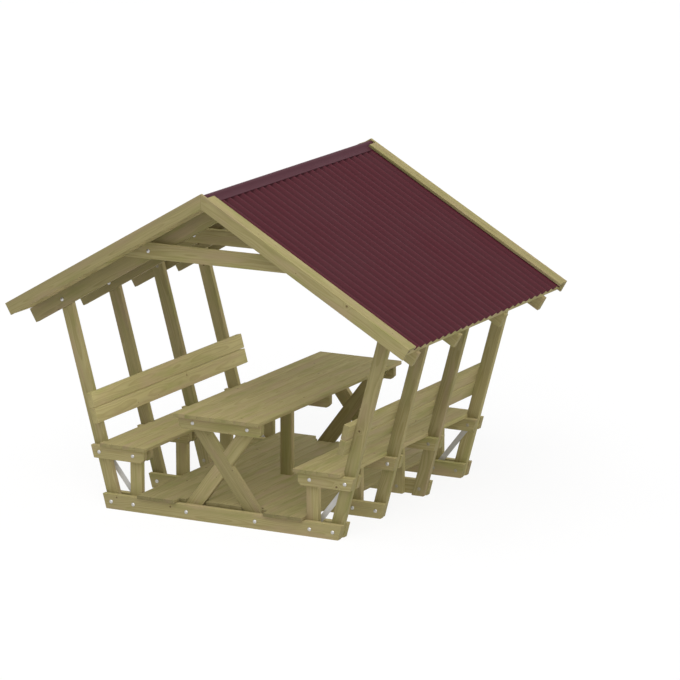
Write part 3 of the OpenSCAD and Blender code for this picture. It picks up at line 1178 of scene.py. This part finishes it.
class SHELTER_OT_straps(bpy.types.Operator):
    """Gives the bracing straps their zinc finish"""

    bl_idname = "shelter.straps"
    bl_label = "Straps"

    def execute(self, context):
        settings = context.scene.shelter_hardware
        material = made_material(
            "strap_zinc", settings.zinc, broad=0.06, fine=0.006, amount=0.3, rough=0.5, metallic=0.6,
        )
        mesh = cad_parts["straps"].data
        mesh.materials.clear()
        mesh.materials.append(material)
        return {"FINISHED"}


# ---------- stage


def white_background(tree, lit):
    """Background in which the camera and reflections see plain white, and lighting rays see the lit one."""
    path = add(tree, "ShaderNodeLightPath")
    seen = sums(tree, "MAXIMUM", path.outputs["Is Camera Ray"], path.outputs["Is Glossy Ray"])
    seen = sums(tree, "MAXIMUM", seen, path.outputs["Is Transmission Ray"])
    white = add(tree, "ShaderNodeBackground", {"Color": (1, 1, 1), "Strength": 1.0})
    return add(tree, "ShaderNodeMixShader", {0: seen, 1: lit, 2: white.outputs[0]}).outputs[0]


def floor_material(settings):
    """A pale floor that looks white where nothing shades it."""
    material, tree, surface = new_material("studio_floor")
    seen = add(tree, "ShaderNodeLightPath").outputs["Is Camera Ray"]
    fill(tree, surface, {
        "Base Color": blended(tree, seen, tuple(settings.floor), (FLOOR_SHADE,) * 3),
        "Roughness": 1.0,
        "Specular IOR Level": 0.0,
        "Emission Color": (1, 1, 1),
        "Emission Strength": sums(tree, "MULTIPLY", seen, FLOOR_LIFT),
    })
    return material


def studio_floor(settings):
    """A round floor that reaches past every view."""
    work = bmesh.new()
    bmesh.ops.create_circle(work, cap_ends=True, radius=FLOOR_REACH, segments=64)
    mesh = mesh_from(work, "studio_floor")
    mesh.materials.append(floor_material(settings))
    floor = new_object("studio_floor", mesh)
    floor.location.z = -FLOOR_DROP


def direction(azimuth, elevation):
    """Unit vector to a place round the shelter: azimuth 0 is in front of the front gable."""
    level = math.cos(elevation)
    return Vector((math.sin(azimuth) * level, -math.cos(azimuth) * level, math.sin(elevation)))


def studio_light(settings):
    """A white sky and three broad lamps."""
    world = bpy.data.worlds.new("studio")
    bpy.context.scene.world = world
    world.use_nodes = True
    tree = world.node_tree
    tree.nodes.clear()
    sky = add(tree, "ShaderNodeBackground", {"Color": (1, 1, 1), "Strength": settings.sky})
    add(tree, "ShaderNodeOutputWorld", {"Surface": white_background(tree, sky.outputs[0])})

    for name, azimuth, elevation, shadow in LAMPS:
        light = bpy.data.lights.new(name, "SUN")
        light.energy = getattr(settings, name)
        light.angle = settings.spread
        light.use_shadow = shadow
        lamp = new_object(name, light)
        toward = direction(math.radians(azimuth), math.radians(elevation))
        lamp.rotation_euler = toward.to_track_quat("Z", "Y").to_euler()


def studio_camera(settings):
    """The camera on its sphere round the target."""
    data = bpy.data.cameras.new("camera")
    data.lens = settings.lens
    data.sensor_width = 36
    data.clip_start, data.clip_end = 0.1, 400
    camera = new_object("camera", data)
    back = direction(settings.azimuth, settings.elevation)
    camera.location = Vector(settings.target) + back * settings.distance
    camera.rotation_euler = back.to_track_quat("Z", "Y").to_euler()
    bpy.context.scene.camera = camera


class SHELTER_OT_stage(bpy.types.Operator):
    """Makes the floor, the lamps and the camera"""

    bl_idname = "shelter.stage"
    bl_label = "Stage"

    def execute(self, context):
        settings = context.scene.shelter_stage
        studio_floor(settings)
        studio_light(settings)
        studio_camera(settings)
        context.scene.view_settings.view_transform = "Standard"
        return {"FINISHED"}


# ---------- panel and registration


GROUPS = {
    "shelter_timber": ShelterTimber,
    "shelter_roof": ShelterRoof,
    "shelter_hardware": ShelterHardware,
    "shelter_stage": ShelterStage,
}
# In the order in which main() runs them
OPERATORS = (
    SHELTER_OT_stage,
    SHELTER_OT_portal_frames,
    SHELTER_OT_benches,
    SHELTER_OT_deck,
    SHELTER_OT_table,
    SHELTER_OT_roof_timber,
    SHELTER_OT_roof_sheets,
    SHELTER_OT_ridge_cap,
    SHELTER_OT_straps,
    SHELTER_OT_bolts,
)


class SHELTER_PT_panel(bpy.types.Panel):
    """Lists the shelter's settings and the steps that build it"""

    bl_idname = "SHELTER_PT_panel"
    bl_label = "Picnic Shelter"
    bl_space_type = "VIEW_3D"
    bl_region_type = "UI"
    bl_category = "Shelter"

    def draw(self, context):
        for operator in OPERATORS:
            self.layout.operator(operator.bl_idname)
        for name, group in GROUPS.items():
            box = self.layout.box()
            box.label(text=group.__doc__)
            for setting in group.__annotations__:
                box.prop(getattr(context.scene, name), setting)


CLASSES = (*GROUPS.values(), *OPERATORS, SHELTER_PT_panel)


def register():
    """Registers the classes and puts their settings on the scene."""
    for made in CLASSES:
        bpy.utils.register_class(made)
    for name, group in GROUPS.items():
        setattr(bpy.types.Scene, name, bpy.props.PointerProperty(type=group))


def unregister():
    """Undoes register()."""
    for name in GROUPS:
        delattr(bpy.types.Scene, name)
    for made in reversed(CLASSES):
        bpy.utils.unregister_class(made)


def main():
    """Builds the shelter and its stage."""
    register()
    for operator in OPERATORS:
        area, name = operator.bl_idname.split(".")
        getattr(getattr(bpy.ops, area), name)()


if __name__ == "__main__":
    main()
